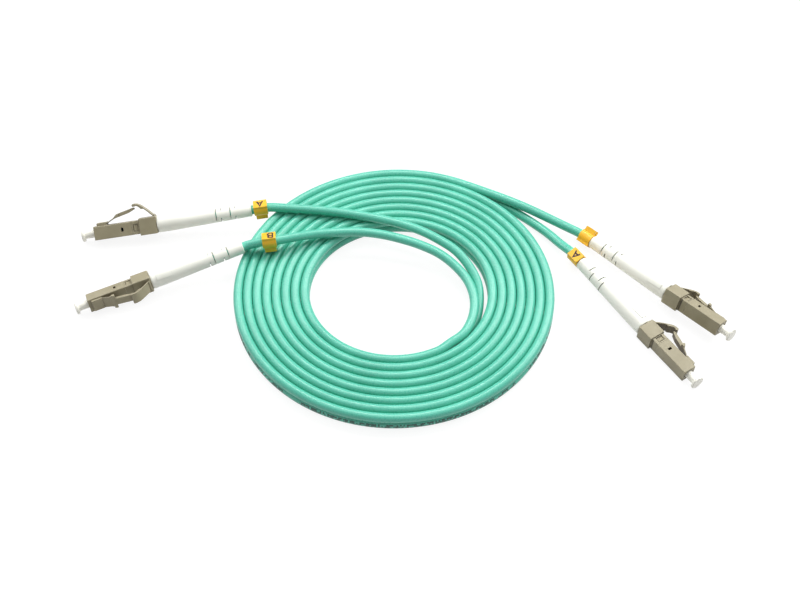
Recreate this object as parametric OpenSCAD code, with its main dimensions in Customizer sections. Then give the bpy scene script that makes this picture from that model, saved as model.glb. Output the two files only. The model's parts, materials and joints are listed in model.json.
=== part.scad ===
// Duplex fibre optic patch cord: a coil of two-strand zipcord that splits at both ends, with a square
// latching plug on each of the four strand ends.
// Each plug is modelled once, along +x from the rear end of its boot, with its latch on the +z side, and
// is then placed by a row of PLUGS. The cord lies on the plane z = 0.

/* [Cord] */
// Diameter of the jacket of one strand
cord_d = 3; // [2.9:0.05:3.1]
// Thickness of the web that joins the two strands
web_t = 0.9; // [0.5:0.1:1.5]
// Gap between neighbouring turns of the coil
turn_gap = 0.05; // [0.05:0.05:0.5]
// Radius of the coil's outer turn
coil_r = 51.25; // [50:0.25:52]
// Amount by which the coil is wider than round
coil_oval = 0.67; // [0:0.01:1]
// Number of turns in the coil
coil_turns = 7.65; // [5:0.05:7.65]

/* [Front body of the plug] */
// Width and height of the square front body
body_w = 4.52; // [4.4:0.02:4.7]
// Length of the square front body
front_len = 12.6; // [12:0.1:14]
// Diameter of the front bore round the ferrule
front_bore_d = 2.95; // [2.85:0.05:3.2]
// Depth of the front bore
front_bore_depth = 3.3; // [3:0.1:3.6]
// Widening of the bore at the front face
bore_flare = 0.2; // [0.1:0.05:0.3]
// Thickness of the inner wall that stops the ferrule flange
stop_t = 0.85; // [0.6:0.05:1]
// Diameter of the spring chamber
chamber_d = 3.3; // [3.2:0.02:3.4]
// Distance of the side holes from the front face
side_hole_back = 9.4; // [8:0.1:10]
// Length of the side holes
side_hole_len = 0.8; // [0.5:0.1:1.2]
// Height of the side holes
side_hole_h = 1.3; // [0.8:0.1:1.8]
// Length of the snap tabs that hold the front body in the collar
tab_len = 1.35; // [1:0.05:1.5]
// Height of the snap tabs
tab_h = 2; // [1.2:0.1:2.2]
// Size of the chamfers on the moulded edges
edge_chamfer = 0.15; // [0.05:0.01:0.25]

/* [Rear housing of the plug] */
// Length of the collar that takes the front body
collar_len = 2.6; // [2.4:0.1:3.2]
// Wall of the collar
collar_wall = 0.32; // [0.28:0.01:0.36]
// Length of the rear block
block_len = 5.8; // [5.5:0.1:7]
// Width of the rear block
block_w = 5.3; // [5.1:0.1:6]
// Height of the rear block above the ferrule axis
block_top = 2.8; // [2.7:0.05:3]
// Depth of the rear block below the ferrule axis
block_bottom = 2.85; // [2.7:0.05:3.1]
// Size of the chamfers round the rear face of the block
rear_chamfer = 0.3; // [0.1:0.05:0.35]
// Room round a snap tab in its window
window_gap = 0.2; // [0.1:0.05:0.25]

/* [Latch] */
// Distance of the latch root pad from the front face
pad_back = 1.2; // [0.8:0.1:1.8]
// Distance of the latch hinge from the front face
latch_hinge_back = 4.55; // [4.2:0.05:5]
// Height of the latch hinge above the front body
latch_hinge_h = 0.62; // [0.55:0.01:0.7]
// Height of the latch root pad
pad_h = 1; // [0.95:0.01:1.1]
// Width of the latch at its root
latch_w = 3.6; // [3:0.1:3.8]
// Width of the latch tail behind the lugs
tail_w = 2.2; // [1.8:0.1:2.8]
// Width over the two locking lugs
lug_w = 4.5; // [4:0.1:4.5]
// Distance of the lugs' locking shoulders from the front face
shoulder_back = 8.7; // [8.2:0.1:8.9]
// Length of the locking lugs
lug_len = 1.1; // [0.8:0.1:1.4]
// Height of the lugs' tops above the front body
lug_top = 3.1; // [2.9:0.05:3.2]
// Distance of the latch tail's end from the front face
tail_back = 14.2; // [13.8:0.1:14.3]
// Height of the latch tail's end above the front body
tail_top = 4.3; // [4.2:0.02:4.4]
// Radius of the latch and trigger hinge beads
bead_r = 0.22; // [0.2:0.01:0.24]

/* [Trigger] */
// Distance of the trigger hinge from the rear face of the block
trigger_hinge_front = 0.9; // [0.8:0.05:1.2]
// Height of the trigger hinge above the block
trigger_hinge_h = 0.32; // [0.3:0.01:0.4]
// Width of the trigger
trigger_w = 3.4; // [2.8:0.1:3.8]
// Thickness of the trigger's flexing arm
arm_t = 0.4; // [0.35:0.01:0.45]
// Thickness of the trigger's head
head_t = 0.95; // [0.9:0.05:1.1]

/* [Ferrule] */
// Diameter of the ceramic ferrule
ferrule_d = 1.249; // [1.2:0.001:1.3]
// Length of the ceramic ferrule
ferrule_len = 6.8; // [6.4:0.1:7.2]
// Length of ferrule in front of the front face
ferrule_out = 3.7; // [3.3:0.1:4]
// Length of the cone at the tip of the ferrule
ferrule_lead = 0.15; // [0.1:0.01:0.3]
// Diameter of the ferrule's fibre bore
ferrule_bore_d = 0.14; // [0.13:0.01:0.3]
// Size across the corners of the ferrule flange
flange_d = 3; // [2.6:0.1:3]
// Thickness of the ferrule flange
flange_t = 1.1; // [0.8:0.1:1.4]
// Diameter of the flange's front barrel
barrel_d = 2; // [1.8:0.05:2.2]
// Diameter of the flange's rear tube
tail_tube_d = 1.5; // [1.3:0.05:1.7]
// Length of the flange's rear tube
tail_tube_len = 1.6; // [1:0.1:2]
// Depth to which the barrel holds the ferrule
socket_depth = 1.4; // [1:0.1:1.8]

/* [Dust cap] */
// Length of dust cap in front of the front face
cap_out = 4.3; // [4.2:0.1:6]
// Length of dust cap inside the front bore
cap_in = 0.8; // [0.5:0.1:1.2]
// Diameter of the dust cap's neck
cap_neck_d = 2.7; // [2.4:0.05:2.75]
// Diameter of the dust cap's flange
cap_flange_d = 4.5; // [4:0.1:5]
// Thickness of the dust cap's flange
cap_flange_t = 0.8; // [0.5:0.1:1.2]
// Fillet between the neck and the flange
cap_fillet = 0.25; // [0.1:0.05:0.4]

/* [Spring] */
// Diameter of the spring wire
wire_d = 0.3; // [0.25:0.01:0.35]
// Mean diameter of the spring
spring_d = 2.4; // [2.2:0.05:2.6]
// Number of curls in the spring
spring_turns = 6; // [4:1:7]

/* [Backbone and crimp sleeve] */
// Length of backbone tube inside the spring chamber
backbone_reach = 3.3; // [2.5:0.1:3.6]
// Diameter of the crimp post
post_d = 3; // [2.6:0.05:3]
// Length of the crimp post
post_len = 5.5; // [5.3:0.1:6]
// Number of grooves round the crimp post
post_grooves = 7; // [4:1:7]
// Wall of the crimp sleeve
sleeve_wall = 0.4; // [0.3:0.05:0.45]
// Length of the crimp sleeve
sleeve_len = 7.1; // [6.5:0.1:8]
// Length of the six-sided crimp
crimp_len = 4.5; // [3:0.1:5]
// Diameter of the buffered fibre
fibre_d = 0.9; // [0.8:0.01:1]
// Diameter of the glass fibre
glass_d = 0.125; // [0.12:0.001:0.126]

/* [Boot] */
// Length of the boot behind the rear housing
boot_len = 31.5; // [30:0.5:34]
// Wall of the boot at its rear end
boot_rear_wall = 0.58; // [0.45:0.01:0.8]
// Wall of the boot at its front end
boot_front_wall = 0.85; // [0.7:0.05:1]
// Amount by which the boot's rounded shoulder draws in
shoulder_drop = 0.3; // [0.1:0.05:0.45]
// Length over which the boot is not tapered
boot_straight = 4.5; // [3:0.5:8]
// Radius of the rounded edge at the boot's rear end
boot_round = 0.3; // [0.1:0.05:0.45]
// Length of the rounded shoulder at the boot's front end
boot_shoulder = 0.6; // [0.3:0.1:1]
// Wall of the boot's spigot inside the block
spigot_wall = 0.2; // [0.15:0.01:0.25]
// Length of the boot's spigot inside the block
spigot_len = 1.5; // [1:0.1:2]
// Width of the flex slits
slit_w = 0.35; // [0.2:0.05:0.6]
// Distance of the first flex slit from the rear end
slit_first = 5.1; // [4:0.1:6]
// Distance between slits on one side
slit_pitch = 4.8; // [4:0.1:6]
// Forward shift of the slits that are turned by 90 degrees
slit_shift = 1.7; // [1.2:0.1:2.2]
// Depth to which a slit cuts past the jacket's surface
slit_bite = 0.25; // [0:0.05:0.5]
// Length of the raised panel
panel_len = 5; // [4:0.5:7]
// Width of the raised panel
panel_w = 1.8; // [1.2:0.1:2.6]
// Height of the raised panel
panel_h = 0.15; // [0.05:0.05:0.3]
// Distance of the raised panel from the housing
panel_gap = 2; // [1.5:0.5:4]

/* [Marker clip] */
// Length of the clip's ring along the cord
clip_len = 4.5; // [3.8:0.1:5.2]
// Length of the clip's lips along the cord
lip_len = 3.8; // [3:0.1:3.8]
// Wall of the clip's ring
clip_wall = 0.7; // [0.5:0.05:0.8]
// Width of the clip's flat face
face_w = 3.4; // [3:0.1:4]
// Height of the clip's flat face above the jacket
face_h = 0.8; // [0.75:0.05:1]
// Distance that the lips reach past the cord
lip_reach = 2; // [1.5:0.1:2.2]
// Thickness of a lip
lip_t = 0.7; // [0.5:0.05:0.9]
// Gap between the lips
lip_gap = 1.1; // [0.8:0.1:1.4]

/* [Fits] */
// Radial gap of a running fit
running_gap = 0.05; // [0.03:0.01:0.06]
// Radial gap of a close fit
close_gap = 0.01; // [0.005:0.001:0.015]
// Radial gap of a hinge bead in its seat
hinge_gap = 0.04; // [0.03:0.01:0.05]

/* [Hidden] */
PIECES = [
    "dust_cap", "ferrule", "ferrule_flange", "spring", "plug_housing", "latch", "rear_housing",
    "trigger", "backbone", "crimp_sleeve", "boot", "marker_clip", "buffered_fibre"
];
SIDES = ["left_a", "left_b", "right_a", "right_b"];

$fn = 48;
tiny = 0.01;

// Centre of the coil
coil_centre = [-1.2, 0.65];
// Direction of the coil's outer end from its centre
coil_start = 66;
// Inward swing of the coil's inner end
inner_swing = 10;
// Direction at which coil_r is measured
coil_datum = 40;
// Half the width of the flat on which the coil stands
foot = 0.5;
// Rings in each turn of the coil and in each curl of a spring
coil_rings = 24;
curl_rings = 8;
// Sides of a spring wire and of a free strand
wire_sides = 6;
strand_sides = 8;
// Turn that sets the strand's flats upright
strand_turn = 22.5;
// Steps of the trigger's arm, of its head and of a rounded edge
arm_steps = 8;
head_steps = 8;
round_steps = 5;

// Routes of the four free strands, from the coil to the straight run into the boot
ROUTE_LEFT_A = [
    [20.4, -16.4, 1.5], [24, -10, 1.6], [25.4, -3.2, 2.2], [25.1, 3.7, 3.7], [22.3, 9.9, 5.3],
    [18.2, 15.2, 6.5], [12.9, 19.2, 7.2], [7.3, 22.7, 7.5], [0.6, 25.7, 7.6], [-6, 27.8, 7.6],
    [-12.8, 29.5, 7.6], [-19.6, 30.9, 7.6], [-26.6, 31.9, 7.6], [-33.4, 32.6, 7.6], [-38.4, 33, 7.6]
];
ROUTE_LEFT_B = [
    [20, -16.8, 4.6], [23, -10.4, 4.8], [23.7, -3.6, 4.9], [22.1, 3.3, 5], [18.5, 9, 5.4],
    [13.3, 14, 6], [7.2, 17.4, 6.5], [0.8, 19.8, 6.9], [-6.2, 21.6, 7.3], [-13.4, 22.4, 7.6],
    [-20.6, 22.1, 7.8], [-27.6, 20.9, 8.5], [-33.6, 18.9, 9.5], [-39.3, 17.1, 10.1], [-45.3, 16.5, 9.7]
];
ROUTE_RIGHT_A = [
    [30, 41.9, 1.5], [36.9, 37.5, 1.5], [43.5, 32, 1.6], [49, 26.4, 2], [53.4, 20.6, 2.7]
];
ROUTE_RIGHT_B = [
    [30, 41.9, 4.5], [36.9, 38.4, 4.5], [43.5, 34.8, 4.3], [50, 31, 3.8], [55.8, 27.6, 3.3]
];

// Middle, yaw and pitch of the run between two points of a route
function midway(a, b) = [
    (a + b) / 2, atan2(b[1] - a[1], b[0] - a[0]), asin((a[2] - b[2]) / norm(b - a))
];

// Places of the plugs: rear end of the boot, then yaw, pitch and roll of the plug, turn of the boot about
// the cord, straight run of cord behind the boot, and the marker clip's place and turn about the cord.
// A clip's place is the distance of its middle behind the boot, or its middle, yaw and pitch.
LEFT_A = [[-49.3, 32.66, 7.03], 187.1, 4.3, 45.5, 8, 6, 3.1, 6];
LEFT_B = [
    [-51.1, 16, 7.95], 201.3, 5.36, -66.5, 31.5, 1.5, midway(ROUTE_LEFT_B[13], ROUTE_LEFT_B[14]), 13
];
RIGHT_A = [[59.2, 12.2, 3.74], -55.4, 1.45, -92.5, 71, 5, 2.3, 18];
RIGHT_B = [[63.7, 21.3, 3.3], -45.4, -2.6, -113.4, 143, 5, 2.3, 128];
PLUGS = [LEFT_A, LEFT_B, RIGHT_A, RIGHT_B];

// Small steps between pieces that follow one another
step = 0.1;
// Stations along the plug, from the rear end of the boot
block_x = boot_len;
collar_x = block_x + block_len;
body_x = collar_x + collar_len;
front_x = body_x + front_len;
stop_x = front_x - front_bore_depth - stop_t;
tongue_gap = 0.3;
tongue_x = collar_x + tongue_gap;
tip_x = front_x + ferrule_out;
ferrule_x = tip_x - ferrule_len;
flange_x = stop_x - running_gap - flange_t;
tail_tube_x = flange_x - tail_tube_len;
barrel_end = ferrule_x + socket_depth;
spring_x = tongue_x + backbone_reach;
// The backbone's seat reaches back to just in front of the boot's spigot and the crimp sleeve
seat_x = collar_x - running_gap;
seat_end = block_x + spigot_len + 2 * step + 1;
post_x = seat_end - post_len;
cord_end_x = post_x - step;
sleeve_x = seat_end - step - sleeve_len;

// Sizes that follow from others
body_top = body_w / 2;
collar_inner = body_w - 2 * collar_wall;
tongue_w = collar_inner - 2 * close_gap;
sleeve_bore_d = max(post_d, cord_d) + 2 * running_gap;
sleeve_d = sleeve_bore_d + 2 * sleeve_wall;
spigot_bore_d = sleeve_d + 2 * running_gap;
spigot_d = spigot_bore_d + 2 * spigot_wall;
strand_gap = 0.02;
strand_bore_d = cord_d + 2 * strand_gap;
boot_rear_d = strand_bore_d + 2 * boot_rear_wall;
boot_front_d = spigot_bore_d + 2 * boot_front_wall;
cap_bore_d = ferrule_d + 2 * close_gap;
backbone_bore_d = fibre_d + 0.2;
tube_bore_d = fibre_d + 4 * close_gap;
wire_gap = 0.02;

// Hinge centres in the plug's xz plane
latch_hinge = [front_x - latch_hinge_back, body_top + latch_hinge_h];
trigger_hinge = [block_x + trigger_hinge_front, block_top + trigger_hinge_h];

function direction(yaw, pitch) = [cos(pitch) * cos(yaw), cos(pitch) * sin(yaw), -sin(pitch)];
function on_axis(plug, x) = plug[0] + x * direction(plug[1], plug[2]);
function unit(v) = v / norm(v);
// Point of the plug at a distance back from the front face and a height above the front body
function at(back, height) = [front_x - back, body_top + height];

// Centre line of the coil in plan, by the total angle turned
turn_pitch = cord_d + turn_gap;
coil_end = coil_start + 360 * coil_turns;
function coil_radius(a) = coil_r - turn_pitch * (a - coil_datum) / 360 + coil_oval * cos(2 * a);
function coil_point(a) = coil_centre + coil_radius(a) * [cos(a), sin(a)];
// The ends run straight for one diameter, the inner one swung inwards off the turn beside it
function exit_way(a, way, swing) = way * [-sin(a + swing), cos(a + swing), 0];
outer_way = exit_way(coil_start, -1, 0);
inner_way = exit_way(coil_end, 1, inner_swing);
function run_out(a, way) = coil_point(a) + cord_d * [way[0], way[1]];
outer_exit = run_out(coil_start, outer_way);
inner_exit = run_out(coil_end, inner_way);
function at_height(p, z) = [p[0], p[1], z];
lower_z = cord_d / 2;
upper_z = 3 * cord_d / 2;

// Every ring of a swept tube: its outline set square to the direction t at the centre c
function side_of(t) = unit(cross([0, 0, 1], t));
function ring(c, t, outline) = [
    for (q = outline) c + q[0] * side_of(t) + q[1] * unit(cross(t, side_of(t)))
];
function tangents(path) = [
    for (i = [0 : len(path) - 1]) unit(path[min(i + 1, len(path) - 1)] - path[max(i - 1, 0)])
];
// Triangles between neighbouring rings of n points
function tube_walls(rings, n) = [
    for (i = [0 : rings - 2], j = [0 : n - 1], half = [0, 1])
        let (a = i * n + j, b = i * n + (j + 1) % n)
            half == 0 ? [a, b + n, b] : [a, a + n, b + n]
];
function fan(first, corners) = [
    for (j = [1 : len(corners) - 2]) [first + corners[0], first + corners[j], first + corners[j + 1]]
];
function flipped(faces) = [for (f = faces) [f[2], f[1], f[0]]];
function round_outline(d, n, turn) = [
    for (j = [0 : n - 1]) d / 2 * [cos(turn + 360 * j / n), sin(turn + 360 * j / n)]
];

// Figure of eight of the zipcord's two strands: two hexagons that meet in the web, and the coil's foot
lobe_side = cord_d / 2 * cos(30);
lobe_step = cord_d / 4;
eight_outline = [
    [foot, 0], [lobe_side, lobe_step], [lobe_side, 3 * lobe_step], [web_t / 2, cord_d],
    [lobe_side, 5 * lobe_step], [lobe_side, 7 * lobe_step], [0, 2 * cord_d],
    [-lobe_side, 7 * lobe_step], [-lobe_side, 5 * lobe_step], [-web_t / 2, cord_d],
    [-lobe_side, 3 * lobe_step], [-lobe_side, lobe_step], [-foot, 0]
];
lower_lobe = [0, 1, 2, 3, 9, 10, 11, 12];
upper_lobe = [6, 7, 8, 9, 3, 4, 5];

coil_steps = round(coil_rings * coil_turns);
coil_path = concat(
    [outer_exit],
    [for (i = [0 : coil_steps]) coil_point(coil_start + 360 * coil_turns * i / coil_steps)],
    [inner_exit]
);
coil_points_3d = [for (p = coil_path) at_height(p, 0)];
coil_tangents = [
    for (i = [0 : len(coil_path) - 1])
        i < 2 ? -outer_way
            : i > len(coil_path) - 3 ? inner_way
            : unit(coil_points_3d[i + 1] - coil_points_3d[i - 1])
];

// Least gap between the flats of neighbouring turns, from the distance of each ring to the next turn
function share(p, a, b) = max(0, min(1, (p - a) * (b - a) / ((b - a) * (b - a))));
function chord_distance(p, a, b) = norm(p - a - share(p, a, b) * (b - a));
turn_distances = [
    for (i = [1 : len(coil_path) - 3 - coil_rings], k = [-1 : 1])
        chord_distance(coil_path[i], coil_path[i + coil_rings + k], coil_path[i + coil_rings + k + 1])
];
echo(least_gap_between_turns = min(turn_distances) - 2 * lobe_side);

// Extrusions along the plug: a side profile in x and z, and an end profile in y and z
module side_profile(w) {
    rotate([90, 0, 0]) linear_extrude(w, center = true) children();
}
module end_profile(x, len) {
    translate([x, 0, 0]) rotate([90, 0, 90]) linear_extrude(len) children();
}
module rod(x, len, d) {
    translate([x, 0, 0]) rotate([0, 90, 0]) cylinder(d = d, h = len);
}
module six_sided_rod(x, len, d) {
    translate([x, 0, 0]) rotate([0, 90, 0]) cylinder(d = d, h = len, $fn = 6);
}
module cross_pin(centre, r, w) {
    translate([centre[0], 0, centre[1]]) rotate([90, 0, 0]) cylinder(r = r, h = w, center = true);
}
module turned(points) {
    rotate([0, 90, 0]) rotate_extrude() polygon([for (p = points) [p[1], p[0]]]);
}
module chamfered_rect(w, low, high, c) {
    polygon([
        [-w / 2, low + c], [-w / 2 + c, low], [w / 2 - c, low], [w / 2, low + c],
        [w / 2, high - c], [w / 2 - c, high], [-w / 2 + c, high], [-w / 2, high - c]
    ]);
}
// Outline from rear to front whose rear corners are cut by c
module rear_cut_outline(x0, x1, low, high, c) {
    polygon([[x0, low + c], [x0 + c, low], [x1, low], [x1, high], [x0 + c, high], [x0, high - c]]);
}
// Strip of changing thickness along a line of points
module strip(path, thick) {
    n = len(path) - 1;
    dirs = tangents(path);
    left = [for (i = [0 : n]) path[i] + thick[i] / 2 * [-dirs[i][1], dirs[i][0]]];
    right = [for (i = [n : -1 : 0]) path[i] - thick[i] / 2 * [-dirs[i][1], dirs[i][0]]];
    polygon(concat(left, right));
}
function bezier(p, t) =
    pow(1 - t, 3) * p[0] + 3 * t * pow(1 - t, 2) * p[1] + 3 * t * t * (1 - t) * p[2] + pow(t, 3) * p[3];

module on_plug(plug) {
    translate(plug[0]) rotate([plug[3], plug[2], plug[1]]) children();
}

module dust_cap() {
    edge = 0.1;
    rim = 0.2;
    cap_x = front_x - cap_in;
    end_x = front_x + cap_out;
    flange_rear = end_x - cap_flange_t;
    neck_r = cap_neck_d / 2;
    flange_r = cap_flange_d / 2;
    color("white") difference() {
        turned([
            [cap_x, 0], [cap_x, neck_r - edge], [cap_x + edge, neck_r],
            [flange_rear - 2 * cap_fillet, neck_r], [flange_rear, neck_r + cap_fillet],
            [flange_rear, flange_r - edge], [flange_rear + edge, flange_r],
            [end_x - rim, flange_r], [end_x, flange_r - rim], [end_x, 0]
        ]);
        rod(cap_x - tiny, tip_x + step - cap_x + tiny, cap_bore_d);
    }
}

module ferrule() {
    color("ivory") difference() {
        turned([
            [ferrule_x, 0], [ferrule_x, ferrule_d / 2], [tip_x - ferrule_lead, ferrule_d / 2],
            [tip_x, ferrule_d / 2 - ferrule_lead], [tip_x, 0]
        ]);
        rod(ferrule_x - tiny, ferrule_len + 2 * tiny, ferrule_bore_d);
    }
}

module ferrule_flange() {
    edge = 0.2;
    color("silver") difference() {
        union() {
            rod(tail_tube_x, tail_tube_len + tiny, tail_tube_d);
            rotate([30, 0, 0]) six_sided_rod(flange_x, flange_t, flange_d);
            turned([
                [flange_x, 0], [flange_x, barrel_d / 2], [barrel_end - edge, barrel_d / 2],
                [barrel_end, barrel_d / 2 - edge], [barrel_end, 0]
            ]);
        }
        rod(tail_tube_x - tiny, ferrule_x - tail_tube_x + 2 * tiny, tube_bore_d);
        rod(ferrule_x, socket_depth + tiny, ferrule_d + 2 * close_gap);
    }
}

// The helix starts and ends with its wire against the backbone and the flange
module spring() {
    low = spring_x + wire_d / 2 + wire_gap;
    high = flange_x - wire_d / 2 - wire_gap;
    count = spring_turns * curl_rings;
    path = [
        for (i = [0 : count]) let (a = 360 * i / curl_rings)
            [low + (high - low) * i / count, spring_d / 2 * cos(a), spring_d / 2 * sin(a)]
    ];
    t = tangents(path);
    outline = round_outline(wire_d, wire_sides, 0);
    points = [
        for (i = [0 : count], q = outline) let (out = unit([0, path[i][1], path[i][2]]))
            path[i] + q[0] * out + q[1] * unit(cross(t[i], out))
    ];
    ends = [for (j = [0 : wire_sides - 1]) j];
    color("lightsteelblue") polyhedron(points, concat(
        tube_walls(count + 1, wire_sides), fan(0, ends), flipped(fan(count * wire_sides, ends))
    ));
}

module plug_housing() {
    pad_front = front_x - pad_back;
    pad_top = body_top + pad_h;
    tab_x = tongue_x + window_gap + step;
    tab_end = tab_x + tab_len;
    tab_face = body_top - step;
    inner_r = barrel_d / 2 + running_gap;
    bore_r = front_bore_d / 2;
    color("tan") difference() {
        union() {
            end_profile(body_x, front_len) chamfered_rect(body_w, -body_top, body_top, edge_chamfer);
            end_profile(tongue_x, body_x - tongue_x + tiny) square(tongue_w, center = true);
            // Ramped snap tabs that show in the collar's windows
            for (side = [-1, 1]) linear_extrude(tab_h, center = true) polygon([
                [tab_x, 0], [tab_x, side * tongue_w / 2], [tab_end - 2 * step, side * tab_face],
                [tab_end, side * tab_face], [tab_end, 0]
            ]);
            // Root pad of the latch
            side_profile(latch_w) polygon([
                [latch_hinge[0], 0], [latch_hinge[0], pad_top], [pad_front - edge_chamfer, pad_top],
                [pad_front, pad_top - edge_chamfer], [pad_front, 0]
            ]);
        }
        // Spring chamber, stop wall and flared front bore
        turned([
            [tongue_x - tiny, 0], [tongue_x - tiny, chamber_d / 2], [stop_x, chamber_d / 2],
            [stop_x, inner_r], [stop_x + stop_t, inner_r], [stop_x + stop_t, bore_r],
            [front_x - bore_flare, bore_r], [front_x, bore_r + bore_flare],
            [front_x + tiny, bore_r + bore_flare], [front_x + tiny, 0]
        ]);
        // Seat of the latch's hinge bead
        cross_pin(latch_hinge, bead_r + hinge_gap, latch_w + 2 * tiny);
        translate([front_x - side_hole_back - side_hole_len / 2, -body_w, -side_hole_h / 2])
            cube([side_hole_len, 2 * body_w, side_hole_h]);
    }
}

// The latch is drawn from its hinge to the end of its tail by points at a distance back and a height
module latch() {
    root_t = 0.26;
    knee_t = 0.34;
    lug_front = shoulder_back - lug_len;
    lug_slope = 0.5;
    lug_low = 2.04;
    ramp_front = lug_front - 0.7;
    ramp_low = 1.56;
    ramp_high = 1.95;
    knee = [(ramp_front + lug_front) / 2 - 0.15, (ramp_low + ramp_high) / 2 + 0.08];
    bend = [(latch_hinge_back + knee[0]) / 2, (latch_hinge_h + knee[1]) / 2];
    tail_front = lug_front + 0.4;
    tail_low = 1.85;
    tail_t = 1.2;
    heel = [12, tail_top - 1.52];
    nose = 0.3;
    color("tan") {
        cross_pin(latch_hinge, bead_r, latch_w);
        // Thin flexing root and the ramp that rides under the adapter's catch
        side_profile(latch_w) union() {
            strip(
                [at(latch_hinge_back, latch_hinge_h), at(bend[0], bend[1]), at(knee[0], knee[1])],
                [root_t, root_t, knee_t]
            );
            polygon([
                at(ramp_front, ramp_low), at(shoulder_back, lug_low), at(shoulder_back, lug_top),
                at(shoulder_back - lug_slope, lug_top), at(ramp_front, ramp_high)
            ]);
        }
        // Locking lugs with square rear shoulders
        side_profile(lug_w) polygon([
            at(lug_front, ramp_high), at(shoulder_back, lug_low), at(shoulder_back, lug_top),
            at(shoulder_back - lug_slope, lug_top), at(lug_front, lug_top - lug_slope)
        ]);
        // Tail that the trigger presses
        side_profile(tail_w) polygon([
            at(tail_front, tail_low), at(heel[0], heel[1]), at(tail_back - nose / 3, tail_top - tail_t / 2),
            at(tail_back, tail_top - 1.4 * nose), at(tail_back, tail_top - 0.7 * nose),
            at(tail_back - nose, tail_top), at(tail_back - 0.7, tail_top),
            at(shoulder_back - lug_slope, lug_top)
        ]);
    }
}

module rear_housing() {
    ridge_x = block_x + rear_chamfer + step;
    ridge_top = trigger_hinge[1] + bead_r + hinge_gap + 0.14;
    recess_len = spigot_len + step;
    window_x = tongue_x + step;
    window_len = tab_len + 2 * window_gap;
    window_h = tab_h + 2 * window_gap;
    collar_relief = 0.02;
    color("tan") difference() {
        union() {
            intersection() {
                end_profile(block_x, block_len)
                    chamfered_rect(block_w, -block_bottom, block_top, edge_chamfer);
                // Chamfers round the rear face
                side_profile(2 * block_w)
                    rear_cut_outline(block_x, collar_x, -block_bottom, block_top, rear_chamfer);
                linear_extrude(4 * block_w, center = true)
                    rear_cut_outline(block_x, collar_x, -block_w / 2, block_w / 2, rear_chamfer);
            }
            end_profile(collar_x - tiny, collar_len + tiny - running_gap) chamfered_rect(
                body_w - 2 * collar_relief, collar_relief - body_top, body_top - collar_relief, edge_chamfer
            );
            // Ridge that carries the trigger's hinge bead
            side_profile(trigger_w) polygon([
                [ridge_x, 0], [ridge_x, ridge_top - 0.35], [ridge_x + 2 * step, ridge_top],
                [trigger_hinge[0], ridge_top], [trigger_hinge[0], 0]
            ]);
        }
        rod(block_x - tiny, recess_len + tiny, spigot_d + 2 * running_gap);
        rod(block_x, block_len + tiny, spigot_bore_d);
        end_profile(collar_x, collar_len + 1) square(collar_inner, center = true);
        translate([window_x, -body_w, -window_h / 2]) cube([window_len, 2 * body_w, window_h]);
        cross_pin(trigger_hinge, bead_r + hinge_gap, trigger_w + 2 * tiny);
    }
}

// A thin arm rises from the hinge to a thick head, whose nose lies over the end of the latch's tail
module trigger() {
    root_t = 0.3;
    nose_gap = 0.34;
    hinge = [front_x - trigger_hinge[0], trigger_hinge[1] - body_top];
    nose = [tail_back, tail_top + nose_gap];
    top = nose[1] + head_t;
    belly = [nose[0] + 2.5, nose[1] - 1.15];
    neck = [belly[0] + 0.6, belly[1] + 0.25];
    arm = [for (i = [0 : arm_steps]) bezier([
        at(hinge[0], hinge[1]), at(hinge[0] - 0.9, hinge[1] + 1),
        at(neck[0] + 1, neck[1] - 0.8), at(neck[0], neck[1])
    ], i / arm_steps)];
    crown = [for (i = [0 : head_steps]) bezier([
        at(neck[0] + 0.14, neck[1] + 0.14), at(neck[0] - 0.9, neck[1] + 1.15),
        at(nose[0] + 1.5, top), at(nose[0] - 0.1, top)
    ], i / head_steps)];
    color("tan") {
        cross_pin(trigger_hinge, bead_r, trigger_w);
        side_profile(trigger_w) union() {
            strip(arm, [for (i = [0 : arm_steps]) i < 2 ? root_t : arm_t]);
            polygon(concat(crown, [
                at(nose[0] - 0.4, top - 0.12), at(nose[0] - 0.55, top - 0.4),
                at(nose[0] - 0.5, nose[1] + 0.2),
                at(nose[0] - 0.3, nose[1]), at(nose[0] + 0.15, nose[1]), at(nose[0] + 0.5, nose[1] + 0.18),
                at(nose[0] + 1, nose[1] + 0.12), at(nose[0] + 1.6, nose[1] - 0.3),
                at(belly[0] - 0.4, belly[1] + 0.25), at(belly[0], belly[1]),
                at(belly[0] + 0.35, belly[1] + 0.05), at(neck[0] - 0.1, neck[1] - 0.18)
            ]));
        }
    }
}

module backbone() {
    groove_depth = 0.12;
    groove_len = 0.25;
    groove_pitch = (post_len - 0.8) / post_grooves;
    color("gold") difference() {
        union() {
            rod(seat_end, seat_x - seat_end, spigot_bore_d - 2 * running_gap);
            rod(seat_x - tiny, spring_x - seat_x + tiny, chamber_d - 2 * running_gap);
            rod(post_x, post_len + tiny, post_d);
        }
        rod(post_x - tiny, spring_x - post_x + 2 * tiny, backbone_bore_d);
        // Grooves that hold the aramid yarn under the crimp
        for (i = [0 : post_grooves - 1])
            let (x = post_x + 0.6 + i * groove_pitch) turned([
                [x, post_d / 2 - groove_depth], [x, post_d], [x + groove_len, post_d],
                [x + groove_len, post_d / 2 - groove_depth]
            ]);
    }
}

module crimp_sleeve() {
    crimp_x = sleeve_x + (sleeve_len - crimp_len) / 2;
    crimp_end = crimp_x + crimp_len;
    color("silver") difference() {
        union() {
            rod(sleeve_x, crimp_x - sleeve_x + tiny, sleeve_d);
            six_sided_rod(crimp_x, crimp_len, sleeve_d);
            rod(crimp_end - tiny, sleeve_x + sleeve_len - crimp_end + tiny, sleeve_d);
        }
        rod(sleeve_x - tiny, sleeve_len + 2 * tiny, sleeve_bore_d);
    }
}

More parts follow.
